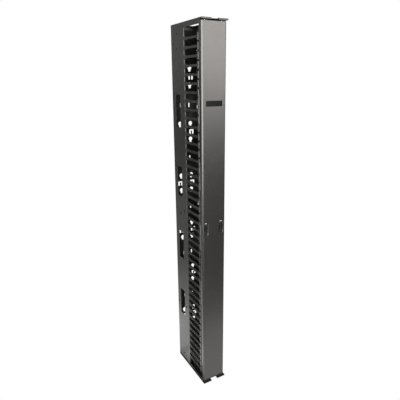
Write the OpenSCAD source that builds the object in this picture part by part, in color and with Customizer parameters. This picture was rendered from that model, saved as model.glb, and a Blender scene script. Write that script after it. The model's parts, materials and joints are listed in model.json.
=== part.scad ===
// Vertical cable manager for server racks: a narrow floor-standing channel with
// snap-on cable fingers on both sides, a punched back, cable windows in the side
// panels and a full-height front door hinged on retractable pins at either edge.
// Frame: X across, centre 0. Y front to back, centre 0, door at -Y. Z up, floor 0.

/* [Overall] */
// Overall height, floor to top plate
height = 2118; // [2112:0.1:2134]
// Overall width across the side panels
width = 152.4; // [152.4:0.1:156]
// Overall depth, hinge tabs to back panel
depth = 335; // [330:0.1:345]
// Thickness of the frame sheet metal
sheet = 2; // [1.5:0.1:2.2]

/* [Side panels] */
// Distance from the front of the tabs to the front edge of the side panels
panel_y = 187; // [185:1:190]
// Width of the front flange that carries the fingers
flange_w = 8.8; // [8:0.1:9]
// Number of cable windows in each side panel
windows = 4; // [2:1:4]
// Height of a cable window
window_h = 177.8; // [120:0.1:200]
// Width of a cable window
window_w = 55; // [40:1:60]
// Distance between window centres
window_pitch = 406.4; // [380:0.1:420]

/* [Fingers] */
// Rack unit: one finger per unit
unit = 44.45; // [44.45:0.01:44.45]
// Fingers in one bank
per_bank = 9; // [5:1:9]
// Height of a finger's I-section
finger_h = 11.5; // [9:0.1:13]
// Height of the T-shaped finger head
head_h = 37; // [30:0.1:40]
// Thickness of the finger head
head_t = 4; // [3:0.1:4]

/* [Back panel] */
// Height of the lowest group of cut-outs above the floor
group_z = 295.3; // [280:0.1:300]
// Distance between groups of cut-outs, seven rack units
group_pitch = 311.15; // [300:0.01:311.15]

/* [Top and bottom plates] */
// Depth of the hinge tabs in front of the plate
tab_d = 25; // [20:1:28]
// Width of the gap between the two tabs
tab_gap = 42; // [30:1:46]
// Height of the top plate's turned side flanges
plate_flange = 27; // [24:1:30]
// Height of the bottom plate's turned side flanges
foot_flange = 24; // [22:1:30]
// Height of the folded lip round each tab
lip_h = 7.4; // [6:0.1:7.6]

/* [Door] */
// Width of the door
door_w = 146.5; // [145:0.5:146.5]
// Depth of the door channel
door_d = 25; // [25:0.5:26]
// Gap between the floor or top and the door's ends
door_gap = 13; // [13:0.1:13.4]
// Outer bend radius of the door's long edges
door_r = 9.4; // [8.5:0.1:9.4]
// Door sheet thickness
skin = 1.5; // [1.2:0.1:1.5]
// Distance from the centre line to each hinge axis
hinge_x = 50; // [49:0.5:50]

/* [Latches] */
// Height of the lever axles
pivot_z = 1068; // [1050:1:1090]
// Lever length, axle to tip
lever_l = 60; // [50:1:62]
// Height of a latch pocket
cup_h = 82; // [80:1:84]
// Width of a latch pocket
cup_w = 28; // [28:0.5:29]
// Distance from a rocker's stud to each of its pins
crank_r = 10.5; // [10.4:0.1:10.6]

/* [Hidden] */
$fn = 48;

t = sheet;
bend = 3;                                          // outer radius of a fold
W = width / 2;
fingers = 5 * per_bank;
finger_z0 = (height - (fingers - 1) * unit) / 2;   // centre of the lowest finger
mid_z = height / 2;
win_y = panel_y + 82.5;                            // middle of a window, front to back
door_y = 10;                                       // front face of the door
door_z0 = door_gap;
door_z1 = height - door_gap;
pin_y = door_y + 12;                               // hinge axis behind the front edge
pin_r = 4;
tip_z = height - 8.2;                              // end of a top hinge pin
keeper_h = 9.6;
bar_y = door_y + 20.3;                             // front face of the latch rods
bar_t = 2;
cup_x = 49;                                        // middle of a latch pocket
cup_z = pivot_z + 12 - cup_h;                      // its lower end
axle_y = door_y + 7;                               // lever axle behind the door's face
rock_z = pivot_z - 40;                             // rocker stud
steel = [0.16, 0.16, 0.155];
plastic = [0.07, 0.07, 0.072];

// ---------- helpers ----------
module place() { translate([0, -depth / 2, 0]) children(); }
module xy(z, h) { translate([0, 0, z]) linear_extrude(h) children(); }
module xz(y, h) { translate([0, y + h, 0]) rotate([90, 0, 0]) linear_extrude(h) children(); }
module yz(x, h) { translate([x, 0, 0]) rotate([90, 0, 90]) linear_extrude(h) children(); }
module right() { mirror([1, 0, 0]) children(); }
module upside() { translate([0, 0, height]) mirror([0, 0, 1]) children(); }

// Rectangle with round corners, lower left corner at the origin
module round_rect(w, h, r) {
  translate([r, 0]) square([w - 2 * r, h]);
  translate([0, r]) square([w, h - 2 * r]);
  for (x = [r, w - r], y = [r, h - r]) translate([x, y]) circle(r);
}

// Latch pocket with round ends, grown by g all round
module pocket_2d(g) {
  translate([-cup_x - cup_w / 2 - g, cup_z - g]) round_rect(cup_w + 2 * g, cup_h + 2 * g, cup_w / 2 + g - 0.01);
}

// ---------- frame ----------
module gang_holes_2d() {
  for (end = [0, 1]) translate([0, end * height]) scale_y(end) {
    for (y = [panel_y + 40, panel_y + 84, panel_y + 128]) translate([y, 124]) circle(3.5);
    for (y = [panel_y + 37, panel_y + 134]) translate([y, 97]) circle(3.5);
    translate([panel_y + 84, 48]) circle(6);
  }
  translate([panel_y + 84 - 4.5, mid_z - 11]) round_rect(9, 22, 3);
  translate([panel_y + 40, mid_z]) circle(3.5);
  // tall slots near both edges for strapping and hanging accessories
  for (z = [434, 1086, 1684], y = [panel_y + 34, panel_y + 134]) translate([y - 4.5, z - 10]) round_rect(9, 20, 3);
}
module scale_y(flip) { if (flip == 1) mirror([0, 1]) children(); else children(); }

module side_panel_body() {
  difference() {
    union() {
      // web
      yz(-W, t) difference() {
        translate([panel_y, t]) square([depth - panel_y, height - 2 * t]);
        translate([panel_y - 1, foot_flange + 2.5]) square([bend + 1, height - foot_flange - plate_flange - 5]);
      }
      // front flange, folded round and short of the plates' own flanges
      xy(foot_flange + 2.5, height - foot_flange - plate_flange - 5) {
        translate([-W + bend, panel_y + bend]) intersection() {
          difference() {
            circle(bend);
            circle(bend - t);
          }
          translate([-bend - 1, -bend - 1]) square(bend + 1.01);
        }
        translate([-W, panel_y + bend - 0.01]) square([t, 0.02]);
        translate([-W + bend - 0.01, panel_y]) square([flange_w - bend + 0.01, t]);
      }
    }
    yz(-W - 1, t + 2) {
      for (i = [0:windows - 1])
        translate([win_y - window_w / 2, mid_z + (i - (windows - 1) / 2) * window_pitch - window_h / 2])
          round_rect(window_w, window_h, 3);
      gang_holes_2d();
      // rivet holes: to the plates' flanges and to the back panel
      for (z = [17, height - 17], y = [panel_y + 40, panel_y + 84, panel_y + 120]) translate([y, z]) circle(2.4);
      for (i = [0:6]) translate([depth - 8, back_rivet_z(i)]) circle(2.4);
    }
  }
}
function back_rivet_z(i) = 60 + i * (height - 120) / 6;

module left_side_panel() { color(steel) place() side_panel_body(); }
module right_side_panel() { color(steel) place() right() side_panel_body(); }

// Inverted-U cut-out with a round-headed tongue standing in it, for a tie or a clip
module tongue_slot_2d() {
  difference() {
    translate([-14.5, -13.5]) round_rect(29, 27, 4);
    translate([-4, -14]) square([8, 15]);
    translate([0, 1.5]) circle(5);
  }
}
module keyhole_2d() {
  translate([0, 4]) circle(12);
  translate([-6.5, -16]) square([13, 14]);
}
module back_panel() {
  color(steel) place() difference() {
    union() {
      xz(depth - t, t) translate([-W + t, t]) square([2 * (W - t), height - 2 * t]);
      for (s = [0, 1]) mirror([s, 0, 0])
        translate([-W + t, depth - 14, 30]) cube([t, 13, height - 60]);
    }
    xz(depth - t - 1, t + 2) {
      for (i = [0:5], s = [-1, 1]) translate([0, group_z + i * group_pitch]) {
        translate([s * 41, 0]) tongue_slot_2d();
        for (k = [-1, 1]) translate([s * 34, k * 46]) keyhole_2d();
      }
      for (i = [0:4], x = [-27, 0, 27])
        translate([x - 4, group_z + (i + 0.5) * group_pitch - 12.5]) round_rect(8, 25, 2.5);
      for (x = [-40, 40], z = [17, height - 17]) translate([x, z]) circle(2.4);
    }
    yz(-W - 1, 2 * W + 2) for (i = [0:6]) translate([depth - 8, back_rivet_z(i)]) circle(2.4);
  }
}

module plate_outline_2d() {
  translate([-W, tab_d]) square([2 * W, depth - tab_d]);
  for (s = [0, 1]) mirror([s, 0]) translate([-W, 0]) square([W - tab_gap / 2, tab_d + 1]);
}
// The pressing, drawn as the top plate with side flanges fh high;
// the openings come in as a 2D child
module plate_body(fh) {
  difference() {
    union() {
      xy(height - t, t) difference() {
        plate_outline_2d();
        children();
      }
      for (s = [0, 1]) mirror([s, 0, 0]) {
        // lips round the tab
        translate([-W, 0, height - lip_h]) cube([W - tab_gap / 2, t, lip_h - t + 0.5]);
        translate([-W, 0, height - lip_h]) cube([t, tab_d + 1, lip_h - t + 0.5]);
        translate([-tab_gap / 2 - t, 0, height - lip_h]) cube([t, tab_d - 3, lip_h - t + 0.5]);
        // side flange: flush with the sides in front, stepped in behind the side panel's sheet
        translate([-W, tab_d, height - fh]) cube([t, panel_y - tab_d - 1.5, fh - t + 0.5]);
        translate([-W, panel_y - 1.5 - t, height - fh]) cube([2 * t, t, fh - t + 0.5]);
        translate([-W + t, panel_y - 1.5 - t, height - fh]) cube([t, depth - panel_y - 12.5, fh - t + 0.5]);
      }
      // rear flange, inside the back panel
      translate([-62, depth - 2 * t, height - 22]) cube([124, t, 22 - t + 0.5]);
    }
    yz(-W - 1, 2 * W + 2) for (y = [panel_y + 40, panel_y + 84, panel_y + 120]) translate([y, height - 17]) circle(2.4);
    for (x = [-40, 40]) translate([x, depth - 10, height - 17]) rotate([-90, 0, 0]) cylinder(r = 2.4, h = 12);
    // keeper screw holes
    for (s = [-1, 1], k = [-1, 1]) translate([s * hinge_x + k * 8, pin_y + 8, height - t - 1]) cylinder(r = 1.6, h = t + 2, $fn = 24);
  }
}
module top_plate() {
  color(steel) place() plate_body(plate_flange) {
    union() {
      translate([-50, 130]) round_rect(100, 176, 8);
      for (x = [-66.5, 66.5], y = [80, 290]) translate([x, y]) circle(3.5);
    }
  }
}
module bottom_plate() {
  color(steel) place() upside() plate_body(foot_flange) {
    union() {
      translate([-32, 190]) round_rect(64, 118, 8);
      for (x = [-56, 56], y = [70, 300]) translate([x, y]) circle(5.5);
    }
  }
}

module rivet(x, y, z, inward) {
  // head on the outside, shank through two sheets, set end inside
  translate([x, y, z]) rotate([0, inward * 90, 0]) {
    translate([0, 0, -1.1]) cylinder(r = 4, h = 1.1);
    cylinder(r = 2.3, h = 2 * t + 0.02);
    translate([0, 0, 2 * t]) cylinder(r = 3.4, h = 1.4);
  }
}
module side_rivets() {
  // flush heads: set into the sheet's outer face so the sides stay flat for ganging
  color([0.35, 0.35, 0.35]) place() for (s = [0, 1]) mirror([s, 0, 0]) {
    for (z = [17, height - 17], y = [panel_y + 40, panel_y + 84, panel_y + 120]) side_rivet(y, z);
    for (i = [0:6]) side_rivet(depth - 8, back_rivet_z(i));
  }
}
module side_rivet(y, z) {
  translate([-W, y, z]) rotate([0, 90, 0]) {
    cylinder(r = 2.3, h = 2 * t + 0.05);
    translate([0, 0, 2 * t + 0.02]) cylinder(r = 3.6, h = 1.4);
  }
}
module back_rivets() {
  color([0.35, 0.35, 0.35]) place() for (x = [-40, 40], z = [17, height - 17])
    translate([x, depth, z]) rotate([90, 0, 0]) {
      cylinder(r = 2.3, h = 2 * t + 0.05);
      translate([0, 0, 2 * t + 0.02]) cylinder(r = 3.6, h = 1.4);
    }
}

// ---------- fingers ----------
function bar_outline(g) = let (h = finger_h / 2 - g, y1 = panel_y - 4)
  [[49, -h], [148, -h], [y1, -11 + g], [y1, 11 - g], [148, h], [49, h]];
module finger() {
  difference() {
    // ribs: the outline's rim, as wide as the side flange
    yz(-W, 9) polygon(bar_outline(0));
    yz(-W - 1, 11) intersection() {
      polygon(bar_outline(2));
      translate([53, -20]) square([panel_y - 59, 40]);
    }
  }
  yz(-W + 3, 3) polygon(bar_outline(0.5));
  // head
  intersection() {
    yz(-W, head_t) translate([38, -head_h / 2]) round_rect(13, head_h, 3);
    xy(-head_h, 2 * head_h) {
      for (y = [38 + 3, 51 - 3]) translate([-W + 3, y]) circle(3);
      translate([-W, 38 + 3]) square([head_t, 7]);
      translate([-W + 3, 38]) square([head_t - 3, 13]);
    }
  }
  // foot against the flange, with a snap hook round the flange's edge
  translate([-W, panel_y - 4.5, -11]) cube([9, 4.4, 22]);
  translate([-W + 9, panel_y - 4.5, -9]) cube([3, 10, 18]);
  translate([-W + 6, panel_y + t + 0.2, -9]) cube([3.5, 3.3, 18]);
}
module finger_bank(n) {
  color(plastic) place() for (i = [0:per_bank - 1])
    translate([0, 0, finger_z0 + (n * per_bank + i) * unit]) finger();
}
module left_fingers_1() { finger_bank(0); }
module left_fingers_2() { finger_bank(1); }
module left_fingers_3() { finger_bank(2); }
module left_fingers_4() { finger_bank(3); }
module left_fingers_5() { finger_bank(4); }
module right_fingers_1() { right() finger_bank(0); }
module right_fingers_2() { right() finger_bank(1); }
module right_fingers_3() { right() finger_bank(2); }
module right_fingers_4() { right() finger_bank(3); }
module right_fingers_5() { right() finger_bank(4); }

// ---------- hinge seats on the tabs ----------
module keeper() {
  // under the top tab at the left hinge axis; open to the front
  translate([-hinge_x, pin_y, height - t - keeper_h]) difference() {
    translate([-12, -10, 0]) cube([24, 21, keeper_h - 0.02]);
    translate([0, 0, 1.4]) cylinder(r = 8.1, h = keeper_h);
    translate([0, 0, -1]) cylinder(r = 7.1, h = keeper_h);
    translate([-5.5, -11, -1]) cube([11, 11, keeper_h + 2]);
    for (k = [-1, 1]) translate([k * 8, 8, -1]) {
      cylinder(r = 1.6, h = keeper_h + 2, $fn = 24);
      cylinder(r = 2.7, h = 2.9, $fn = 24);
    }
  }
}
module keeper_screw_pair() {
  // heads sunk in the keeper
  for (k = [-1, 1]) translate([-hinge_x + k * 8, pin_y + 8, height - t - keeper_h + 0.15]) {
    cylinder(r = 2.5, h = 1.7, $fn = 24);
    cylinder(r = 1.5, h = keeper_h + t - 0.2, $fn = 24);
  }
}
module hinge_keepers() {
  color(plastic) place() for (s = [0, 1]) mirror([s, 0, 0]) {
    keeper();
    upside() keeper();
  }
}
module keeper_screws() {
  color("silver") place() for (s = [0, 1]) mirror([s, 0, 0]) {
    keeper_screw_pair();
    upside() keeper_screw_pair();
  }
}
// Open bush: the hinge pin rests in its round seat and leaves by the front slot.
// It turns in its keeper with the door, so its slot is shut when the door is open.
module open_bush_2d(r) {
  difference() {
    circle(r);
    circle(pin_r + 0.08);
    translate([-pin_r - 0.5, -r - 1]) square([2 * pin_r + 1, r + 1]);
  }
}
module top_bush() {
  translate([-hinge_x, pin_y, 0]) {
    xy(height - t - keeper_h + 1.6, keeper_h - 1.9) open_bush_2d(8);
    // collar that shows under the keeper
    xy(door_z1 + 0.6, height - t - keeper_h + 1.7 - door_z1 - 0.6) open_bush_2d(6.9);
  }
}
module bottom_bush() {
  translate([-hinge_x, pin_y, 0]) {
    xy(t + 0.3, keeper_h - 1.9) open_bush_2d(8);
    // collar that the door's lower end rests on
    xy(t + keeper_h - 1.7, door_z0 - (t + keeper_h - 1.7) - 0.2) open_bush_2d(6.9);
  }
}
module left_top_hinge_bush() { color([0.12, 0.12, 0.12]) place() top_bush(); }
module left_bottom_hinge_bush() { color([0.12, 0.12, 0.12]) place() bottom_bush(); }
module right_hinge_bushes() { color([0.12, 0.12, 0.12]) place() right() { top_bush(); bottom_bush(); } }

// ---------- door ----------
module door_outer_2d(g) {
  // channel section grown inwards by g, front to the bottom of the drawing
  w = door_w / 2 - g; r = door_r - g;
  translate([-w, door_y + g + r]) square([2 * w, door_d - 2 * g - r]);
  translate([-w + r, door_y + g]) square([2 * (w - r), r + 1]);
  for (s = [-1, 1]) translate([s * (w - r), door_y + g + r]) circle(r);
}
module door_panel() {
  color([0.25, 0.25, 0.24]) place() difference() {
    xy(door_z0, door_z1 - door_z0) difference() {
      door_outer_2d(0);
      door_outer_2d(skin);
      translate([-door_w / 2 + 13, door_y + door_d - skin - 1]) square([door_w - 26, skin + 2]);
    }
    for (s = [0, 1]) mirror([s, 0, 0]) {
      xz(door_y - 1, skin + 2) pocket_2d(1.6);
      for (z = [door_z0 + 9, door_z1 - 9]) translate([-66, door_y + door_d - 5, z]) rotate([-90, 0, 0]) cylinder(r = 1.7, h = 6, $fn = 24);
      for (z = [spring_z0 - 11.1, height - spring_z0 + 11.1]) translate([-door_w / 2 - 1, pin_y, z]) rotate([0, 90, 0]) cylinder(r = 1.7, h = 4, $fn = 24);
    }
  }
}
module door_stiffener() {
  y0 = door_y + skin;
  color([0.3, 0.3, 0.3]) place() xy(70, height - 140) {
    for (s = [0, 1]) mirror([s, 0]) {
      translate([-13, y0]) square([6, 1.2]);
      translate([-8.2, y0]) square([1.2, 13]);
    }
    translate([-8.2, y0 + 11.8]) square([16.4, 1.2]);
  }
}
module door_cap_body() {
  difference() {
    union() {
      xy(door_z1 - 2.2, 2.2) door_outer_2d(skin + 0.1);
      xy(door_z1 - 16, 14) difference() {
        door_outer_2d(skin + 0.1);
        door_outer_2d(skin + 2);
      }
    }
    for (s = [-1, 1]) {
      translate([s * hinge_x, pin_y, door_z1 - 20]) cylinder(r = pin_r + 0.12, h = 24);
      translate([s * 66, door_y + door_d - 5, door_z1 - 9]) rotate([-90, 0, 0]) cylinder(r = 1.7, h = 6, $fn = 24);
    }
  }
}
module door_top_cap() { color(plastic) place() door_cap_body(); }
module door_bottom_cap() { color(plastic) place() upside() door_cap_body(); }
module cap_rivets() {
  color("silver") place() for (s = [-1, 1], z = [door_z0 + 9, door_z1 - 9])
    translate([s * 66, door_y + door_d, z]) rotate([90, 0, 0]) {
      translate([0, 0, -1]) cylinder(r = 3, h = 1, $fn = 24);
      cylinder(r = 1.6, h = 3.55, $fn = 24);
      translate([0, 0, 3.52]) cylinder(r = 2.5, h = 0.8, $fn = 24);
    }
}
module label_plate() {
  color([0.02, 0.02, 0.02]) place() xz(door_y - 0.8, 0.78) translate([-49, 1702.5]) round_rect(98, 28.5, 2);
}

// ---------- latches ----------
// Round-ended pocket let into the door, with a slot in its floor for the lever's arm
// and a stud behind it for the rocker
module latch_cup() {
  difference() {
    xz(door_y + 0.1, 14) pocket_2d(1.5);
    xz(door_y - 1, 13.5) pocket_2d(0);
    translate([-hinge_x - 4, door_y + 10, pivot_z - 11]) cube([8, 6, 14.2]);
    translate([-cup_x - cup_w / 2 - 3, axle_y, pivot_z]) rotate([0, 90, 0]) cylinder(r = 1.55, h = cup_w + 6);
  }
  translate([-hinge_x, door_y + 13.5, rock_z]) rotate([-90, 0, 0]) {
    cylinder(r = 4.5, h = 4.3);
    cylinder(r = 2.5, h = 6.7);
  }
}
module left_latch_cup() { color(plastic) place() latch_cup(); }
module right_latch_cup() { color(plastic) place() right() latch_cup(); }

module lever_axle() {
  translate([-cup_x - cup_w / 2 - 0.9, axle_y, pivot_z]) rotate([0, 90, 0]) cylinder(r = 1.5, h = cup_w + 1.8);
}
// Flip-out lever: its lower end pulls forward, its rear arm pushes the rods
module latch_lever() {
  difference() {
    union() {
      // grip
      xz(axle_y - 1, 4) {
        translate([-hinge_x - 5.5, pivot_z - lever_l + 5.5]) square([11, lever_l - 5.5]);
        translate([-hinge_x, pivot_z - lever_l + 5.5]) circle(5.5);
      }
      // finger ledge at the tip
      xz(axle_y - 2.6, 2) translate([-hinge_x - 4, pivot_z - lever_l + 3.5]) round_rect(8, 5, 1.5);
      translate([-hinge_x - 5.5, axle_y, pivot_z]) rotate([0, 90, 0]) cylinder(r = 4.2, h = 11);
      translate([-hinge_x, axle_y - 5, pivot_z]) rotate([-90, 0, 0]) cylinder(r = 6, h = 6);
      // rear arm with a round end
      translate([-hinge_x - 2.5, axle_y, pivot_z - 2]) cube([5, 13, 4]);
      translate([-hinge_x - 2.5, axle_y + 14, pivot_z]) rotate([0, 90, 0]) cylinder(r = 2.2, h = 5);
    }
    translate([-hinge_x - 7, axle_y, pivot_z]) rotate([0, 90, 0]) cylinder(r = 1.6, h = 14);
  }
}
module lever_cap() {
  translate([-hinge_x, axle_y - 6.1, pivot_z]) rotate([-90, 0, 0]) {
    cylinder(r = 4.4, h = 0.5);
    translate([0, 0, 0.4]) cylinder(r = 5.3, h = 0.68);
  }
}
// Rocker on the cup's stud: turns the top rod's stroke round for the bottom rod
module rocker() {
  y0 = door_y + 18;
  translate([-hinge_x, 0, rock_z]) {
    difference() {
      xz(y0, 2) {
        circle(6);
        translate([-crank_r, -3.2]) square([2 * crank_r, 6.4]);
        for (s = [-1, 1]) translate([s * crank_r, 0]) circle(3.2);
      }
      translate([0, y0 - 1, 0]) rotate([-90, 0, 0]) cylinder(r = 2.6, h = 4);
    }
    for (s = [-1, 1]) translate([s * crank_r, y0 + 1.5, 0]) rotate([-90, 0, 0]) cylinder(r = 2, h = 3.7);
  }
}
module left_latch_lever() { color(plastic) place() latch_lever(); }
module right_latch_lever() { color(plastic) place() right() latch_lever(); }
module left_lever_cap() { color([0.8, 0.8, 0.8]) place() lever_cap(); }
module right_lever_cap() { color([0.8, 0.8, 0.8]) place() right() lever_cap(); }
module left_lever_axle() { color("silver") place() lever_axle(); }
module right_lever_axle() { color("silver") place() right() lever_axle(); }
module left_rocker() { color([0.55, 0.55, 0.55]) place() rocker(); }
module right_rocker() { color([0.55, 0.55, 0.55]) place() right() rocker(); }

// Flat rods, each with a foot under its hinge pin
foot_z = height - 46;
module rod_bar(z0, z1) { translate([-hinge_x - 5, bar_y, z0]) cube([10, bar_t, z1 - z0]); }
module rod_foot() {
  // turned forward under the pin
  difference() {
    translate([-hinge_x - 7, pin_y - 6, foot_z]) cube([14, bar_y + bar_t - pin_y + 6, 3]);
    translate([-hinge_x, pin_y, foot_z - 1]) cylinder(r = 2.5, h = 5, $fn = 32);
  }
}
module top_rod() {
  rod_bar(pivot_z + 6, foot_z + 3);
  rod_foot();
  // window for the lever's arm, and a leg down to the rocker's outer pin
  translate([-hinge_x, bar_y, 0]) difference() {
    union() {
      translate([-14.2, 0, pivot_z - 10]) cube([21.2, bar_t, 18]);
      translate([-14.2, 0, rock_z - 6]) cube([10.4, bar_t, pivot_z - rock_z]);
    }
    translate([-3.2, -1, pivot_z - 2.6]) cube([6.4, bar_t + 2, 5.2]);
    translate([-15.2, -1, rock_z - 2.3]) cube([8.9, bar_t + 2, 4.6]);
  }
}
module bottom_rod() {
  rod_bar(height - foot_z - 3, rock_z - 22);
  upside() rod_foot();
  // step across to a leg that takes the rocker's inner pin
  translate([-hinge_x, bar_y, rock_z]) difference() {
    union() {
      translate([-5, 0, -26]) cube([19.2, bar_t, 6]);
      translate([3.8, 0, -21]) cube([10.4, bar_t, 27]);
    }
    translate([6.3, -1, -2.3]) cube([8.9, bar_t + 2, 4.6]);
  }
}
// Hinge pin: chamfered tip, riveted shoulder on the foot, guide stem below it
module top_pin() {
  translate([-hinge_x, pin_y, 0]) rotate_extrude() polygon([
    [0, foot_z - 34], [2.3, foot_z - 34], [2.3, foot_z - 0.2], [2.42, foot_z - 0.2], [2.42, foot_z + 3.05],
    [pin_r, foot_z + 3.05], [pin_r, tip_z - 1.2], [pin_r - 1.2, tip_z], [0, tip_z]]);
}
module left_top_rod() { color([0.5, 0.5, 0.5]) place() top_rod(); }
module left_bottom_rod() { color([0.5, 0.5, 0.5]) place() bottom_rod(); }
module right_top_rod() { color([0.5, 0.5, 0.5]) place() right() top_rod(); }
module right_bottom_rod() { color([0.5, 0.5, 0.5]) place() right() bottom_rod(); }
module left_top_pin() { color("silver") place() top_pin(); }
module left_bottom_pin() { color("silver") place() upside() top_pin(); }
module right_top_pin() { color("silver") place() right() top_pin(); }
module right_bottom_pin() { color("silver") place() right() upside() top_pin(); }

// Coil spring that holds the pin out, round the pin's stem
spring_z0 = foot_z - 27.8;
spring_h = 27.6;
module spring_body() {
  turns = 6; seg = 14; sides = 6; rc = 4.1; rw = 0.7; n = turns * seg;
  rise = spring_h - 2 * rw;
  pts = [for (i = [0:n]) let (a = i * 360 / seg, z = spring_z0 + rw + rise * i / n)
    for (j = [0:sides - 1]) let (b = j * 360 / sides)
      [(rc + rw * cos(b)) * cos(a), (rc + rw * cos(b)) * sin(a), z + rw * sin(b)]];
  side = [for (i = [0:n - 1], j = [0:sides - 1]) let (k = (j + 1) % sides)
    [i * sides + j, (i + 1) * sides + j, (i + 1) * sides + k, i * sides + k]];
  translate([-hinge_x, pin_y, 0]) polyhedron(
    points = pts,
    faces = concat(side, [[for (j = [0:sides - 1]) j]], [[for (j = [sides - 1:-1:0]) n * sides + j]]));
}
module left_top_spring() { color("silver") place() spring_body(); }
module left_bottom_spring() { color("silver") place() upside() spring_body(); }
module right_top_spring() { color("silver") place() right() spring_body(); }
module right_bottom_spring() { color("silver") place() right() upside() spring_body(); }

// Angle bracket on the door's edge return that the spring pushes against
module spring_bracket() {
  z1 = spring_z0 - 0.1;
  difference() {
    union() {
      translate([-door_w / 2 + skin + 1.5, pin_y - 6, z1 - 2]) cube([door_w / 2 - skin - 43.5, 12.2, 2]);
      translate([-door_w / 2 + skin + 0.1, pin_y - 2.4, z1 - 18]) cube([2, 8.6, 18]);
    }
    translate([-hinge_x, pin_y, z1 - 4]) cylinder(r = 2.7, h = 6, $fn = 32);
    translate([-door_w / 2 - 1, pin_y, z1 - 11]) rotate([0, 90, 0]) cylinder(r = 1.7, h = 8, $fn = 24);
  }
}
module left_spring_brackets() { color([0.3, 0.3, 0.3]) place() { spring_bracket(); upside() spring_bracket(); } }
module right_spring_brackets() { color([0.3, 0.3, 0.3]) place() right() { spring_bracket(); upside() spring_bracket(); } }

// Moulded guide clipped in the door channel, with a slot for the rod
guide_z = [320, 700, 1440, 1820];
module guide(z) {
  difference() {
    translate([-door_w / 2 + skin + 0.1, bar_y - 2.2, z]) cube([door_w / 2 - skin - 42, 5.2, 14]);
    translate([-hinge_x - 5.2, bar_y - 0.2, z - 1]) cube([10.4, bar_t + 0.4, 16]);
  }
}
module left_rod_guides() { color(plastic) place() for (z = guide_z) guide(z); }
module right_rod_guides() { color(plastic) place() right() for (z = guide_z) guide(z); }
module bracket_rivets() {
  // countersunk flush in the door's edge, one to each spring bracket
  z1 = spring_z0 - 11.1;
  color("silver") place() for (s = [0, 1]) mirror([s, 0, 0]) {
    bracket_rivet(z1);
    upside() bracket_rivet(z1);
  }
}
module bracket_rivet(z) {
  translate([-door_w / 2 + 0.05, pin_y, z]) rotate([0, 90, 0]) {
    cylinder(r = 1.6, h = 3.6, $fn = 24);
    translate([0, 0, 3.57]) cylinder(r = 2.8, h = 1, $fn = 24);
  }
}

left_side_panel();
right_side_panel();
back_panel();
top_plate();
bottom_plate();
left_fingers_1();
left_fingers_2();
left_fingers_3();
left_fingers_4();
left_fingers_5();
right_fingers_1();
right_fingers_2();
right_fingers_3();
right_fingers_4();
right_fingers_5();
side_rivets();
back_rivets();
hinge_keepers();
keeper_screws();
right_hinge_bushes();
left_top_hinge_bush();
left_bottom_hinge_bush();
door_panel();
door_stiffener();
door_top_cap();
door_bottom_cap();
cap_rivets();
label_plate();
left_latch_cup();
right_latch_cup();
left_rod_guides();
right_rod_guides();
left_spring_brackets();
right_spring_brackets();
bracket_rivets();
left_latch_lever();
left_lever_cap();
left_lever_axle();
left_rocker();
right_latch_lever();
right_lever_cap();
right_lever_axle();
right_rocker();
left_top_rod();
left_top_pin();
left_top_spring();
left_bottom_rod();
left_bottom_pin();
left_bottom_spring();
right_top_rod();
right_top_pin();
right_top_spring();
right_bottom_rod();
right_bottom_pin();
right_bottom_spring();
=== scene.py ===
import json
import math

import bmesh
import bpy
from mathutils import Matrix, Vector

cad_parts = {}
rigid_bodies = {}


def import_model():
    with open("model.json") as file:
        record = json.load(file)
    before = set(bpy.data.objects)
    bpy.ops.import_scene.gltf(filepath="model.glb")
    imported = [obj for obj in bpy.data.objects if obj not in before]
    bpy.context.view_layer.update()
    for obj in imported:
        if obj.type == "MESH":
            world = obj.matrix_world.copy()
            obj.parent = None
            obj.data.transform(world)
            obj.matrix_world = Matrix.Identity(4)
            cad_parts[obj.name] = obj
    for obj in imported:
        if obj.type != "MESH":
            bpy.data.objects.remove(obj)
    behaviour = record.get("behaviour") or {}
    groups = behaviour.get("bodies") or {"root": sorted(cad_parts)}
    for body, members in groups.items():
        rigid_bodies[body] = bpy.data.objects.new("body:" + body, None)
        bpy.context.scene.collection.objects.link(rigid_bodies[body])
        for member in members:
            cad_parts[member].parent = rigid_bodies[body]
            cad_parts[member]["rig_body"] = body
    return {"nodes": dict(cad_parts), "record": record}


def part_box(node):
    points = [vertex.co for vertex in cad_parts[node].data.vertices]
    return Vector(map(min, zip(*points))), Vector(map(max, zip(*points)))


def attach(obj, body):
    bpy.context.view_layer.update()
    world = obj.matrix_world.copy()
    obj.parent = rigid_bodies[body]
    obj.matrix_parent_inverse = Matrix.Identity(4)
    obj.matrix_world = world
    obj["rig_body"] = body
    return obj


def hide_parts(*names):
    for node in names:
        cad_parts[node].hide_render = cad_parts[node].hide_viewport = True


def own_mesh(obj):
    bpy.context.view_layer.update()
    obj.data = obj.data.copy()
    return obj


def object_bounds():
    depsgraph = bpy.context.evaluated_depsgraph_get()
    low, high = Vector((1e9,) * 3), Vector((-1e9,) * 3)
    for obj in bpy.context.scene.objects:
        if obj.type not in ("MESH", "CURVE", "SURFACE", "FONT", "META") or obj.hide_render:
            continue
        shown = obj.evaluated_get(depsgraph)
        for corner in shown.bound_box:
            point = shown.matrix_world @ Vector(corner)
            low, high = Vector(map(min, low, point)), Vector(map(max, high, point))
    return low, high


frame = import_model()
cad_box = [list(c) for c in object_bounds()]
nodes = frame["nodes"]
scene = bpy.context.scene

MM = 0.001
DEPTH = cad_box[1][1] - cad_box[0][1]
HEIGHT = cad_box[1][2]


def Y(y):
    """Distance behind the front of the tabs in mm, as a place in the frame."""
    return y * MM - DEPTH / 2


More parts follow.
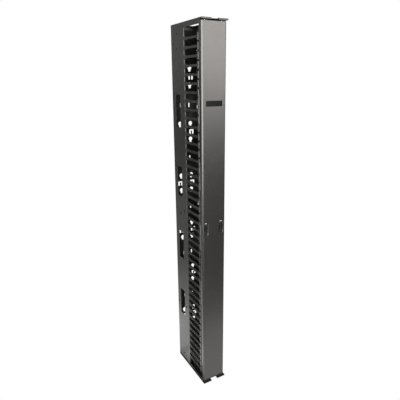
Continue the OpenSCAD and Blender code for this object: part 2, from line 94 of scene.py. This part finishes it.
# ---------------------------------------------------------------- materials
def new_material(name, color, rough, metallic=0.0, **sockets):
    m = bpy.data.materials.new(name)
    m.use_nodes = True
    nt = m.node_tree
    bsdf = nt.nodes["Principled BSDF"]
    bsdf.inputs["Base Color"].default_value = (*color, 1)
    bsdf.inputs["Roughness"].default_value = rough
    bsdf.inputs["Metallic"].default_value = metallic
    for key, value in sockets.items():
        bsdf.inputs[key.replace("_", " ")].default_value = value
    return m, nt, bsdf


def coords(nt, scale=(1, 1, 1)):
    tex = nt.nodes.new("ShaderNodeTexCoord")
    mp = nt.nodes.new("ShaderNodeMapping")
    mp.inputs["Scale"].default_value = scale
    nt.links.new(tex.outputs["Object"], mp.inputs["Vector"])
    return mp.outputs["Vector"]


def noise(nt, vector, scale, detail=2.0, rough=0.5):
    n = nt.nodes.new("ShaderNodeTexNoise")
    n.inputs["Scale"].default_value = scale
    n.inputs["Detail"].default_value = detail
    n.inputs["Roughness"].default_value = rough
    nt.links.new(vector, n.inputs["Vector"])
    return n.outputs["Fac"]


def ramp(nt, fac, lo, hi, a=0.3, b=0.7):
    """Grey or colour that runs from lo to hi as fac goes from a to b."""
    r = nt.nodes.new("ShaderNodeValToRGB")
    r.color_ramp.elements[0].position = a
    r.color_ramp.elements[1].position = b
    lo = (lo,) * 3 if isinstance(lo, float) else lo
    hi = (hi,) * 3 if isinstance(hi, float) else hi
    r.color_ramp.elements[0].color = (*lo, 1)
    r.color_ramp.elements[1].color = (*hi, 1)
    nt.links.new(fac, r.inputs["Fac"])
    return r.outputs["Color"]


def bump(nt, bsdf, height, strength, distance, previous=None):
    b = nt.nodes.new("ShaderNodeBump")
    b.inputs["Strength"].default_value = strength
    b.inputs["Distance"].default_value = distance
    nt.links.new(height, b.inputs["Height"])
    if previous is not None:
        nt.links.new(previous, b.inputs["Normal"])
    nt.links.new(b.outputs["Normal"], bsdf.inputs["Normal"])
    return b.outputs["Normal"]


def powder_coat(name, color, rough, grain=1.0, **sockets):
    """Satin powder coat: orange peel about a millimetre across, over faint handling marks."""
    m, nt, bsdf = new_material(name, color, rough, **sockets)
    v = coords(nt)
    peel = noise(nt, v, 850, 3.0)
    patch = noise(nt, v, 9, 4.0, 0.6)
    lo = tuple(c * 0.92 for c in color)
    hi = tuple(c * 1.07 for c in color)
    nt.links.new(ramp(nt, patch, lo, hi), bsdf.inputs["Base Color"])
    smudge = noise(nt, v, 34, 3.0, 0.65)
    nt.links.new(ramp(nt, smudge, rough - 0.012, rough + 0.018), bsdf.inputs["Roughness"])
    bump(nt, bsdf, peel, 0.12 * grain, 0.00025)
    return m


def moulded(name, color, rough, grain=1.0, **sockets):
    """Moulded plastic with a fine spark-eroded grain and slight shade changes."""
    m, nt, bsdf = new_material(name, color, rough, **sockets)
    v = coords(nt)
    fine = noise(nt, v, 1900, 2.0)
    flow = noise(nt, v, 22, 3.0, 0.6)
    lo = tuple(c * 0.8 for c in color)
    hi = tuple(c * 1.2 for c in color)
    nt.links.new(ramp(nt, flow, lo, hi), bsdf.inputs["Base Color"])
    nt.links.new(ramp(nt, flow, rough - 0.04, rough + 0.05), bsdf.inputs["Roughness"])
    bump(nt, bsdf, fine, 0.2 * grain, 0.00012)
    return m


def plated(name, color, rough, brush=(1, 1, 1), strength=0.08, **sockets):
    """Plated or drawn steel: fine lines along one axis and dull patches."""
    m, nt, bsdf = new_material(name, color, rough, 1.0, **sockets)
    lines = noise(nt, coords(nt, brush), 1200, 2.0)
    patch = noise(nt, coords(nt), 60, 4.0, 0.6)
    nt.links.new(ramp(nt, patch, tuple(c * 0.82 for c in color), tuple(min(1, c * 1.1) for c in color)), bsdf.inputs["Base Color"])
    nt.links.new(ramp(nt, patch, rough - 0.05, rough + 0.08), bsdf.inputs["Roughness"])
    bump(nt, bsdf, lines, strength, 0.0001)
    return m


MAT = {
    "frame_steel": powder_coat("frame_steel", (0.0085, 0.0085, 0.0083), 0.38, Specular_IOR_Level=0.68),
    # painted shade: a darker, less glossy copy of frame_steel for the back panel's inner face, standing for the shade
    # inside the channel
    "shaded_inner_steel": powder_coat("shaded_inner_steel", (0.006, 0.006, 0.0059), 0.55, Specular_IOR_Level=0.2),
    "door_steel": powder_coat("door_steel", (0.0066, 0.0065, 0.0063), 0.33, 0.4, Specular_IOR_Level=0.92),
    "finger_plastic": moulded("finger_plastic", (0.008, 0.008, 0.008), 0.4, Specular_IOR_Level=0.75),
    "keeper_plastic": moulded("keeper_plastic", (0.014, 0.014, 0.014), 0.45),
    "cup_plastic": moulded("cup_plastic", (0.0105, 0.0105, 0.0103), 0.36),
    "lever_plastic": moulded("lever_plastic", (0.007, 0.007, 0.007), 0.35),
    "bush_plastic": moulded("bush_plastic", (0.03, 0.03, 0.03), 0.4),
    "rivet_dark": powder_coat("rivet_dark", (0.0125, 0.0125, 0.0122), 0.4),
    "fastener_steel": plated("fastener_steel", (0.5, 0.5, 0.5), 0.32),
    "bright_steel": plated("bright_steel", (0.78, 0.78, 0.77), 0.16, (0.05, 0.05, 1), 0.04),
    "rod_steel": plated("rod_steel", (0.42, 0.42, 0.42), 0.36, (1, 1, 0.04)),
    "spring_steel": plated("spring_steel", (0.55, 0.55, 0.54), 0.25),
    "label_black": moulded("label_black", (0.003, 0.003, 0.003), 0.6, 0.5, Specular_IOR_Level=0.12),
}
slot_of = {s["node"]: s["material_slot"] for s in frame["record"]["subparts"]}
for name, o in nodes.items():
    o.data.materials.clear()
    o.data.materials.append(MAT[slot_of[name]])


# ---------------------------------------------------------------- meshes
def object_from(bm, name, body, slot, smooth=32):
    """Finishes a mesh: flat areas meet in sharp edges, curves are smooth."""
    me = bpy.data.meshes.new(name)
    bm.normal_update()
    for f in bm.faces:
        f.smooth = True
    for e in bm.edges:
        e.smooth = len(e.link_faces) == 2 and e.calc_face_angle(math.pi) < math.radians(smooth)
    bm.to_mesh(me)
    bm.free()
    o = bpy.data.objects.new(name, me)
    scene.collection.objects.link(o)
    me.materials.append(MAT[slot])
    if body:
        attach(o, body)
    return o


def clean(bm):
    """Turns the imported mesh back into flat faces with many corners."""
    bmesh.ops.remove_doubles(bm, verts=bm.verts, dist=2e-6)
    bmesh.ops.dissolve_limit(bm, angle_limit=math.radians(1.0), verts=bm.verts, edges=bm.edges, use_dissolve_boundaries=False, delimit=set())


def softened(node, width, segments=2, angle=40, clamp=True, pick=None):
    """A copy of a CAD node with its sharp edges rounded; it stands for the node."""
    src = nodes[node]
    bm = bmesh.new()
    bm.from_mesh(src.data)
    clean(bm)
    edges = [e for e in bm.edges if len(e.link_faces) == 2 and e.calc_face_angle(0) > math.radians(angle) and (pick is None or pick(e))]
    bmesh.ops.bevel(bm, geom=edges, offset=width, offset_type="OFFSET", segments=segments, profile=0.5, affect="EDGES", clamp_overlap=clamp, harden_normals=False)
    bmesh.ops.triangulate(bm, faces=[f for f in bm.faces if len(f.verts) > 4])
    low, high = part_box(node)
    for v in bm.verts:
        v.co = [min(max(c, a), b) for c, a, b in zip(v.co, low, high)]
    o = object_from(bm, node + "_formed", src["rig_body"], slot_of[node])
    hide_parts(node)
    w = o.modifiers.new("wn", "WEIGHTED_NORMAL")
    w.keep_sharp = True
    w.weight = 100
    return o


def rings(bm, loops, caps=True):
    """Skin through loops of equal length, closed at both ends."""
    made = [[bm.verts.new(p) for p in loop] for loop in loops]
    n = len(made[0])
    for a, b in zip(made, made[1:]):
        for i in range(n):
            bm.faces.new((a[i], a[(i + 1) % n], b[(i + 1) % n], b[i]))
    if caps:
        bm.faces.new(list(reversed(made[0])))
        bm.faces.new(made[-1])
    return made


def lathe(bm, profile, at, axis, n=40, hand=1):
    """Turned shape. profile is (radius, distance along axis) in mm from one end to the other,
    axis is a letter, at is a place in mm in the drawing's frame (Y from the tabs)."""
    loops = []
    for r, h in profile:
        loop = []
        for i in range(n):
            a = 2 * math.pi * i / n
            c, s = r * math.cos(a), r * math.sin(a)
            p = {"X": (h, c, s), "Y": (s, h, c), "Z": (c, s, h)}[axis]
            loop.append(Vector(((at[0] + p[0]) * MM * hand, Y(at[1] + p[1]), (at[2] + p[2]) * MM)))
        loops.append(loop)
    return rings(bm, loops)


def inset(points, d):
    """Outline moved inwards by d at every corner, for outlines drawn anticlockwise."""
    out = []
    n = len(points)
    for i in range(n):
        a, b, c = (Vector(points[(i + k) % n]) for k in (-1, 0, 1))
        u, v = (b - a).normalized(), (c - b).normalized()
        nu, nv = Vector((-u.y, u.x)), Vector((-v.y, v.x))
        m = nu + nv
        out.append(b + m * (d / max(0.35, m.length_squared / 2)))
    return out


def prism(bm, outline, axis, lo, hi, edge=0.3, hand=1):
    """Bar of a given outline (mm) with rounded end edges. axis is the letter it runs along."""
    loops = []
    steps = [(edge, lo), (edge * 0.3, lo + edge * 0.3), (0, lo + edge), (0, hi - edge), (edge * 0.3, hi - edge * 0.3), (edge, hi)]
    for d, h in steps:
        loop = []
        for p in inset(outline, d) if d else [Vector(q) for q in outline]:
            q = {"X": (h, p.x, p.y), "Y": (p.x, h, p.y), "Z": (p.x, p.y, h)}[axis]
            loop.append(Vector((q[0] * MM * hand, Y(q[1]), q[2] * MM)))
        loops.append(loop)
    return rings(bm, loops)


def rounded(w, h, r, at=(0, 0), n=6):
    """Anticlockwise rectangle with round corners about its centre."""
    r = min(r, w / 2 - 1e-4, h / 2 - 1e-4)
    pts = []
    for k, (cx, cy) in enumerate(((w / 2 - r, -h / 2 + r), (w / 2 - r, h / 2 - r), (-w / 2 + r, h / 2 - r), (-w / 2 + r, -h / 2 + r))):
        for i in range(n + 1):
            a = math.pi / 2 * (k - 1 + i / n)
            pts.append((at[0] + cx + r * math.cos(a), at[1] + cy + r * math.sin(a)))
    return pts


def outward(bm):
    bmesh.ops.recalc_face_normals(bm, faces=bm.faces)


def stand_for(bm, name, *cad, smooth=32):
    """A finished piece that replaces CAD nodes and rides on their body."""
    outward(bm)
    o = object_from(bm, name, nodes[cad[0]]["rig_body"], slot_of[cad[0]], smooth)
    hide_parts(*cad)
    return o


H = HEIGHT / MM
PIN_Y, HINGE_X = 22.0, 50.0
PIVOT_Z = 500 * sum(c[2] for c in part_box("left_lever_axle"))
SPRING_Z = H - 73.8
DOOR_Z = (13.0, H - 13)
LABEL_Z = 500 * sum(c[2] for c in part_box("label_plate"))

# Fingers, sheet metal and mouldings with broken edges
for side in ("left", "right"):
    for n in range(1, 6):
        softened(f"{side}_fingers_{n}", 0.0007)
    softened(f"{side}_side_panel", 0.0003, clamp=False)
    softened(f"{side}_rod_guides", 0.0005)
    softened(f"{side}_spring_brackets", 0.0004)
    softened(f"{side}_rocker", 0.00025, clamp=False)
    for end in ("top", "bottom"):
        softened(f"{side}_{end}_rod", 0.0003, clamp=False)
rear = softened("back_panel", 0.0003, clamp=False)
rear.data.materials[0] = MAT["shaded_inner_steel"]  # painted shade: the inner face gets a darker, duller copy of the paint to stand for the shade inside the channel
rear.data.materials.append(MAT["frame_steel"])
for f in rear.data.polygons:
    f.material_index = 1 if f.normal.y > 0.3 else 0
softened("top_plate", 0.0005, clamp=False)
softened("bottom_plate", 0.0005, clamp=False)
softened("hinge_keepers", 0.0004)
softened("right_hinge_bushes", 0.0003)
softened("left_top_hinge_bush", 0.0003)
softened("left_bottom_hinge_bush", 0.0003)
softened("door_panel", 0.0004, clamp=False)
softened("door_stiffener", 0.0004, clamp=False)
softened("door_top_cap", 0.0004)
softened("door_bottom_cap", 0.0004)

# Label plaque, bare
bm = bmesh.new()
prism(bm, rounded(98, 28.5, 2, (0, LABEL_Z)), "Y", 9.2, 9.98, 0.25)
stand_for(bm, "label_plaque", "label_plate")


# Hinge pins turned with a rounded tip and a grease groove
def pin_profile():
    foot, tip = H - 46, H - 8.2
    return [(0.3, foot - 34), (1.8, foot - 34), (2.3, foot - 33.4), (2.3, foot - 0.2), (2.42, foot - 0.2), (2.42, foot + 3.05),
            (3.6, foot + 3.05), (4, foot + 3.45), (4, tip - 9), (3.75, tip - 8.7), (3.75, tip - 7.9), (4, tip - 7.6),
            (4, tip - 1.6), (3.85, tip - 0.95), (3.4, tip - 0.4), (2.7, tip - 0.08), (1.9, tip), (0.3, tip)]


# Coil spring with closed, ground ends
def spring(side, hand, end):
    bm = bmesh.new()
    turns, seg, sides, rc, rw, height = 8.0, 36, 10, 4.1, 0.62, 27.5
    n = int(turns * seg)
    loops = []
    for i in range(n + 1):
        k = i / n
        a = 2 * math.pi * turns * k
        t = k * turns
        lift = 1.3 * min(t, 1) + 1.3 * max(0, t - (turns - 1)) + (height - 2 * rw - 2.6) * min(max((t - 1) / (turns - 2), 0), 1)
        z = SPRING_Z + 0.05 + rw + lift
        loop = []
        for j in range(sides):
            b = 2 * math.pi * j / sides
            r = rc + rw * math.cos(b)
            zz = min(max(z + rw * math.sin(b), SPRING_Z + 0.1), SPRING_Z + height)
            if end == "bottom":
                zz = H - zz
            loop.append(Vector(((-HINGE_X + r * math.cos(a)) * MM * hand, Y(PIN_Y + r * math.sin(a)), zz * MM)))
        loops.append(loop)
    rings(bm, loops)
    node = f"{side}_{end}_spring"
    o = stand_for(bm, node + "_wire", node)
    z = (SPRING_Z if end == "top" else H - SPRING_Z) * MM
    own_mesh(o)
    return o


for side, hand in (("left", 1), ("right", -1)):
    for end in ("top", "bottom"):
        spring(side, hand, end)
        prof = pin_profile()
        if end == "bottom":
            prof = [(r, H - z) for r, z in reversed(prof)]
        bm = bmesh.new()
        lathe(bm, prof, (-HINGE_X, PIN_Y, 0), "Z", 48, hand)
        stand_for(bm, f"{side}_{end}_pin_turned", f"{side}_{end}_pin", smooth=50)


# Latch pocket: drafted walls, a round rim, a slotted floor and the rocker's stud behind
def pocket_ring(x0, x1, z0, z1, centre, n=224):
    """Points of a round-ended outline, one on each ray from centre."""
    r = (x1 - x0) / 2
    xm = (x0 + x1) / 2
    out = []
    for i in range(n):
        a = 2 * math.pi * i / n
        d = Vector((math.cos(a), math.sin(a)))
        lo, hi = 0.0, 200.0
        for _ in range(40):
            mid = (lo + hi) / 2
            p = Vector(centre) + d * mid
            zc = min(max(p.y, z0 + r), z1 - r)
            if math.hypot(p.x - xm, p.y - zc) <= r:
                lo = mid
            else:
                hi = mid
        p = Vector(centre) + d * lo
        out.append((p.x, p.y))
    return out


def slot_ring(centre, w, h, n=224, power=8):
    out = []
    for i in range(n):
        a = 2 * math.pi * i / n
        c, s = math.cos(a), math.sin(a)
        k = (abs(c / (w / 2)) ** power + abs(s / (h / 2)) ** power) ** (-1 / power)
        out.append((centre[0] + c * k, centre[1] + s * k))
    return out


def pocket(side, hand):
    centre = (-50, -3.9)
    steps = [  # x0, x1, z0, z1, y from the slot in the floor, up the walls, over the rim and down the outside
        (-56.2, -43.8, -62.6, 7.6, 22.5), (-57.0, -42.9, -63.5, 8.3, 22.25), (-57.5, -42.3, -64.1, 8.7, 21.6),
        (-59.2, -39.8, -66.1, 9.9, 16.5), (-61.6, -36.6, -68.6, 11.3, 11.3), (-62.3, -35.7, -69.3, 11.7, 10.5),
        (-62.9, -35.1, -69.9, 12.0, 10.16), (-63.4, -34.6, -70.4, 12.4, 10.1), (-64.1, -33.9, -71.1, 13.1, 10.1),
        (-64.4, -33.6, -71.4, 13.4, 10.22), (-64.5, -33.5, -71.5, 13.5, 10.5), (-64.5, -33.5, -71.5, 13.5, 23.6),
        (-64.0, -34.0, -71.0, 13.0, 24.1)]
    slot2 = slot_ring(centre, 8, 14.2)
    loops = [[Vector((x * MM * hand, Y(22.5), (z + PIVOT_Z) * MM)) for x, z in slot2]]
    for x0, x1, z0, z1, y in steps:
        loops.append([Vector((x * MM * hand, Y(y), (z + PIVOT_Z) * MM)) for x, z in pocket_ring(x0, x1, z0, z1, centre)])
    loops.append([Vector((x * MM * hand, Y(24.1), (z + PIVOT_Z) * MM)) for x, z in slot2])
    bm = bmesh.new()
    made = rings(bm, loops, caps=False)
    n = len(made[0])
    for i in range(n):
        bm.faces.new((made[-1][i], made[-1][(i + 1) % n], made[0][(i + 1) % n], made[0][i]))
    lathe(bm, [(4.5, 23.4), (4.5, 27.4), (4.1, 27.8), (2.5, 27.8), (2.5, 29.9), (2.2, 30.2), (0.3, 30.2)], (-HINGE_X, 0, PIVOT_Z - 40), "Y", 40, hand)
    return stand_for(bm, f"{side}_latch_pocket", f"{side}_latch_cup", smooth=50)


# Flip-out lever: crowned grip, round knob over the axle, rear arm
def lever(side, hand):
    bm = bmesh.new()
    loops = []
    z_tip = PIVOT_Z - 60
    for k in range(25):
        u = k / 24
        z = z_tip + 60 * u
        if z < z_tip + 5.5:
            half = math.sqrt(max(0.25, 5.5**2 - (z_tip + 5.5 - z) ** 2))
        else:
            half = 5.5
        half = half - 0.7 * math.exp(-((z - (PIVOT_Z - 26)) / 12) ** 2)
        front = 16.05 + 0.35 * math.sin(math.pi * min(1, u * 1.15)) - 0.5 * math.exp(-((z - (z_tip + 6)) / 4) ** 2)
        back = 19.95
        loops.append([Vector(((-HINGE_X + px) * MM * hand, Y((front + back) / 2 + py), z * MM)) for px, py in rounded(2 * half, back - front, 1.3)])
    rings(bm, loops)
    # finger ledge
    prism(bm, rounded(8, 4.6, 1.5, (-HINGE_X, z_tip + 6)), "Y", 14.45, 16.4, 0.5, hand)
    # knob
    lathe(bm, [(0.3, 18.0), (5.5, 18.0), (6, 17.5), (6, 13.0), (5.7, 12.35), (5.2, 12.05), (4.2, 12.0), (0.3, 12.0)], (-HINGE_X, 0, PIVOT_Z), "Y", 56, hand)
    # boss round the axle
    lathe(bm, [(1.6, -5.5), (3.9, -5.5), (4.2, -5.2), (4.2, 5.2), (3.9, 5.5), (1.6, 5.5)], (-HINGE_X, 17, PIVOT_Z), "X", 40, hand)
    # rear arm and its round end
    prism(bm, rounded(4.9, 3.9, 0.7, (-HINGE_X, PIVOT_Z)), "Y", 18, 30.1, 0.2, hand)
    lathe(bm, [(0.3, -2.5), (1.9, -2.5), (2.2, -2.2), (2.2, 2.2), (1.9, 2.5), (0.3, 2.5)], (-HINGE_X, 31, PIVOT_Z), "X", 32, hand)
    return stand_for(bm, f"{side}_lever_moulded", f"{side}_latch_lever", smooth=50)


# Bright button on the knob, dished in the middle
def button(side, hand):
    bm = bmesh.new()
    lathe(bm, [(0.3, 11.98), (5.0, 11.98), (5.3, 11.8), (5.3, 11.55), (5.0, 11.25), (4.3, 11.02), (3.6, 10.92), (3.2, 10.98), (2.0, 11.12), (0.3, 11.16)],
          (-HINGE_X, 0, PIVOT_Z), "Y", 56, hand)
    return stand_for(bm, f"{side}_button", f"{side}_lever_cap", smooth=50)


def axle(side, hand):
    bm = bmesh.new()
    lathe(bm, [(0.3, -63.9), (1.2, -63.9), (1.5, -63.6), (1.5, -34.4), (1.2, -34.1), (0.3, -34.1)], (0, 17, PIVOT_Z), "X", 32, hand)
    return stand_for(bm, f"{side}_axle_ground", f"{side}_lever_axle", smooth=50)


for side, hand in (("left", 1), ("right", -1)):
    pocket(side, hand)
    lever(side, hand)
    button(side, hand)
    axle(side, hand)


# Rivets and screws
def dome(bm, r, height, at, axis, toward, hand=1, shank=(1.6, 3.0), tail=None, n=28):
    """Round head that stands proud by height; toward is +1 or -1 along the axis, its outer side."""
    prof = [(0.2, toward * height), (r * 0.35, toward * height * 0.97), (r * 0.7, toward * height * 0.78), (r * 0.92, toward * height * 0.4), (r, toward * height * 0.1), (r, 0)]
    prof += [(shank[0], 0), (shank[0], -toward * shank[1])]
    if tail:
        prof += [(tail[0], -toward * shank[1]), (tail[0] * 0.93, -toward * (shank[1] + tail[1] * 0.7)), (tail[0] * 0.5, -toward * (shank[1] + tail[1]))]
        prof += [(0.2, -toward * (shank[1] + tail[1]))]
    else:
        prof += [(0.2, -toward * shank[1])]
    lathe(bm, prof, at, axis, n, hand)


def screw(bm, x, y, z, up, hand):
    """Pan head with a cross recess, facing down or up along Z."""
    n = 32
    s = -1 if up else 1
    base = z
    loops = []
    prof = [(2.5, 1.7), (2.5, 0.75), (2.32, 0.35), (1.95, 0.1), (1.45, 0.0)]
    for r, d in prof:
        loops.append([Vector(((x + r * math.cos(2 * math.pi * i / n)) * MM * hand, Y(y + r * math.sin(2 * math.pi * i / n)), (base + s * d) * MM)) for i in range(n)])
    for k, d in ((1.0, 0.02), (0.86, 0.7)):
        loop = []
        for i in range(n):
            a = 2 * math.pi * i / n
            c = max(abs(math.cos(a)), abs(math.sin(a)))
            r = 1.25 if c > 0.955 else (0.42 / max(0.3, min(abs(math.cos(a)), abs(math.sin(a))) + 0.05))
            r = min(r, 1.25) * k
            loop.append(Vector(((x + r * math.cos(a)) * MM * hand, Y(y + r * math.sin(a)), (base + s * d) * MM)))
        loops.append(loop)
    rings(bm, loops)
    lathe(bm, [(0.2, 0), (1.5, 0), (1.5, s * 9.4), (1.1, s * 9.8), (0.2, s * 9.8)], (x, y, base + s * 1.6), "Z", 24, hand)


bm = bmesh.new()
for hand in (1, -1):
    for k in (-8, 8):
        screw(bm, -HINGE_X + k, PIN_Y + 8, H - 2 - 9.6 + 0.15, False, hand)
        screw(bm, -HINGE_X + k, PIN_Y + 8, 2 + 9.6 - 0.15, True, hand)
stand_for(bm, "keeper_cross_screws", "keeper_screws", smooth=40)

bm = bmesh.new()
for hand in (1, -1):
    for z in (DOOR_Z[0] + 9, DOOR_Z[1] - 9):
        dome(bm, 3, 1.0, (-66, 35, z), "Y", 1, hand, (1.6, 3.55), (2.5, 0.75))
stand_for(bm, "cap_dome_rivets", "cap_rivets", smooth=40)


# ---------------------------------------------------------------- camera
yaw, pitch, roll = -0.5184, 0.2981, -0.0097
sy, cy, sp, cp, sr, cr = math.sin(yaw), math.cos(yaw), math.sin(pitch), math.cos(pitch), math.sin(roll), math.cos(roll)
fwd = Vector((-sy * cp, cy * cp, -sp))
rt = Vector((cy, sy, 0))
up = rt.cross(fwd)
r2 = rt * cr + up * sr
u2 = -rt * sr + up * cr
cam_data = bpy.data.cameras.new("camera")
cam = bpy.data.objects.new("camera", cam_data)
scene.collection.objects.link(cam)
m = Matrix.Identity(4)
for i, axis in enumerate((r2, u2, -fwd)):
    for j in range(3):
        m[j][i] = axis[j]
m.translation = Vector((-1.0680, -1.7063 - DEPTH / 2, 1.8222))
cam.matrix_world = m
cam_data.sensor_width = 36
cam_data.lens = 34.512
cam_data.clip_end = 100
cam_data.dof.use_dof = False
scene.camera = cam

# ---------------------------------------------------------------- studio
scene.view_settings.view_transform = "Standard"
world = bpy.data.worlds.new("studio")
scene.world = world
world.use_nodes = True
nt = world.node_tree
bg = nt.nodes["Background"]
bg.inputs["Color"].default_value = (1, 1, 1, 1)
bg.inputs["Strength"].default_value = 0.15
seen = nt.nodes.new("ShaderNodeBackground")
seen.inputs["Color"].default_value = (1, 1, 1, 1)
seen.inputs["Strength"].default_value = 1.0
path = nt.nodes.new("ShaderNodeLightPath")
mix = nt.nodes.new("ShaderNodeMixShader")
nt.links.new(path.outputs["Is Camera Ray"], mix.inputs["Fac"])
nt.links.new(bg.outputs["Background"], mix.inputs[1])
nt.links.new(seen.outputs["Background"], mix.inputs[2])
nt.links.new(mix.outputs["Shader"], nt.nodes["World Output"].inputs["Surface"])

bm = bmesh.new()
bmesh.ops.create_grid(bm, x_segments=1, y_segments=1, size=12)
me = bpy.data.meshes.new("studio_floor")
bm.to_mesh(me)
bm.free()
floor = bpy.data.objects.new("studio_floor", me)
scene.collection.objects.link(floor)
fm, nt, bsdf = new_material("studio_floor", (0.05, 0.05, 0.049), 0.9)
# The camera sees an even white floor, but real shade in the object's own footprint
glow = nt.nodes.new("ShaderNodeEmission")
glow.inputs["Strength"].default_value = 1.0
where = nt.nodes.new("ShaderNodeTexCoord")
axes = nt.nodes.new("ShaderNodeSeparateXYZ")
nt.links.new(where.outputs["Object"], axes.inputs["Vector"])
inside = []
for axis, half, mid in (("X", 0.0745, 0), ("Y", DEPTH / 2 - 0.0145, 0.0125)):
    near = nt.nodes.new("ShaderNodeMath")
    near.operation = "COMPARE"
    near.inputs[1].default_value = mid
    near.inputs[2].default_value = half
    nt.links.new(axes.outputs[axis], near.inputs[0])
    inside.append(near.outputs["Value"])
both = nt.nodes.new("ShaderNodeMath")
both.operation = "MULTIPLY"
nt.links.new(inside[0], both.inputs[0])
nt.links.new(inside[1], both.inputs[1])
outside = nt.nodes.new("ShaderNodeMath")
outside.operation = "SUBTRACT"
outside.inputs[0].default_value = 1.0
nt.links.new(both.outputs["Value"], outside.inputs[1])
path = nt.nodes.new("ShaderNodeLightPath")
seen = nt.nodes.new("ShaderNodeMath")
seen.operation = "MULTIPLY"
nt.links.new(path.outputs["Is Camera Ray"], seen.inputs[0])
nt.links.new(outside.outputs["Value"], seen.inputs[1])
mix = nt.nodes.new("ShaderNodeMixShader")
nt.links.new(seen.outputs["Value"], mix.inputs["Fac"])
nt.links.new(bsdf.outputs["BSDF"], mix.inputs[1])
nt.links.new(glow.outputs["Emission"], mix.inputs[2])
nt.links.new(mix.outputs["Shader"], nt.nodes["Material Output"].inputs["Surface"])
me.materials.append(fm)


def area(name, loc, target, size, size_y, radiance, tint=(1, 1, 1), spread=180):
    """Soft panel light of a given radiance."""
    d = bpy.data.lights.new(name, "AREA")
    d.shape = "RECTANGLE"
    d.size = size
    d.size_y = size_y
    d.energy = radiance * size * size_y * math.pi
    d.color = tint
    d.spread = math.radians(spread)
    o = bpy.data.objects.new(name, d)
    scene.collection.objects.link(o)
    o.location = loc
    o.rotation_euler = (Vector(target) - Vector(loc)).to_track_quat("-Z", "Y").to_euler()
    o.visible_camera = False
    return o


WARM, SOFT = (1.05, 0.985, 0.955), (1.01, 1.0, 0.965)
# Right-hand softboxes fade the door from top to middle
area("right_high", (1.950, -2.785, 2.9), (0, 0, 1.3), 1.8, 1.0, 6.0, WARM)
area("right_mid", (1.950, -2.785, 2.1), (0, 0, 1.3), 1.8, 0.6, 5.5, WARM)
area("right_low", (1.950, -2.785, 1.5), (0, 0, 1.3), 1.8, 0.6, 2.2, WARM)
# A tall wall of light from the front round to the left, for the rolled edges
area("front_top", (0.000, -3.400, 2.9), (0, 0, 1.3), 1.8, 1.0, 9.0, SOFT)
area("front_upper", (0.000, -3.400, 2.1), (0, 0, 1.3), 1.8, 0.6, 9.0, SOFT)
area("front_middle", (0.000, -3.400, 1.5), (0, 0, 1.3), 1.8, 0.6, 5.0, SOFT)
area("front_lower", (0.000, -3.400, 0.9), (0, 0, 1.3), 1.8, 0.6, 4.0, SOFT)
area("left_top", (-1.950, -2.785, 2.9), (0, 0, 1.3), 1.8, 1.0, 9.0, SOFT)
area("left_upper", (-1.950, -2.785, 2.1), (0, 0, 1.3), 1.8, 0.6, 9.0, SOFT)
area("left_middle", (-1.950, -2.785, 1.5), (0, 0, 1.3), 1.8, 0.6, 10.0, SOFT)
area("left_lower", (-1.950, -2.785, 0.9), (0, 0, 1.3), 1.8, 0.6, 11.0, SOFT)
area("side_top", (-3.195, -1.163, 2.9), (0, 0, 1.3), 1.8, 1.0, 9.0, SOFT)
area("side_upper", (-3.195, -1.163, 2.1), (0, 0, 1.3), 1.8, 0.6, 9.0, SOFT)
area("side_middle", (-3.195, -1.163, 1.5), (0, 0, 1.3), 1.8, 0.6, 9.0, SOFT)
area("side_lower", (-3.195, -1.163, 0.9), (0, 0, 1.3), 1.8, 0.6, 9.0, SOFT)
area("side_foot", (-3.400, -0.000, 0.35), (0, 0, 1.3), 1.8, 0.5, 5.0, SOFT)
area("back_left", (-1.700, 2.944, 2.4), (0, 0, 1.3), 1.8, 1.2, 0.35, SOFT)
area("back_right", (1.802, 2.883, 2.7), (0, 0, 1.3), 1.8, 1.2, 1.3, SOFT)
# The far sides, for the other views
area("rear", (0.473, 3.367, 1.5), (0, 0, 1.3), 1.6, 1.8, 5.0, SOFT)
area("right_side", (3.348, 0.590, 1.5), (0, 0, 1.3), 1.6, 1.8, 3.0, WARM)
# The bright floor close to the object
area("floor_front", (0.3, -0.62, 0.01), (0.3, -0.62, 5), 1.3, 1.0, 0.28, WARM)
area("floor_near", (0.18, -0.43, 0.012), (0.18, -0.43, 5), 0.7, 0.53, 0.65, WARM)
area("floor_left", (-0.45, -0.2, 0.012), (-0.45, -0.2, 5), 0.65, 0.7, 1.0, SOFT)
area("floor_behind", (-0.6, 0.75, 0.01), (-0.6, 0.75, 5), 1.0, 1.1, 0.62, SOFT)
area("floor_corner", (-0.29, 0.32, 0.014), (-0.29, 0.32, 5), 0.42, 0.7, 0.85, SOFT)
area("floor_rear", (0.6, 1.3, 0.01), (0.6, 1.3, 5), 1.6, 1.8, 0.8, SOFT)
area("floor_far", (-1.95, 3.1, 0.01), (-1.95, 3.1, 5), 2.4, 3.6, 0.45, SOFT)
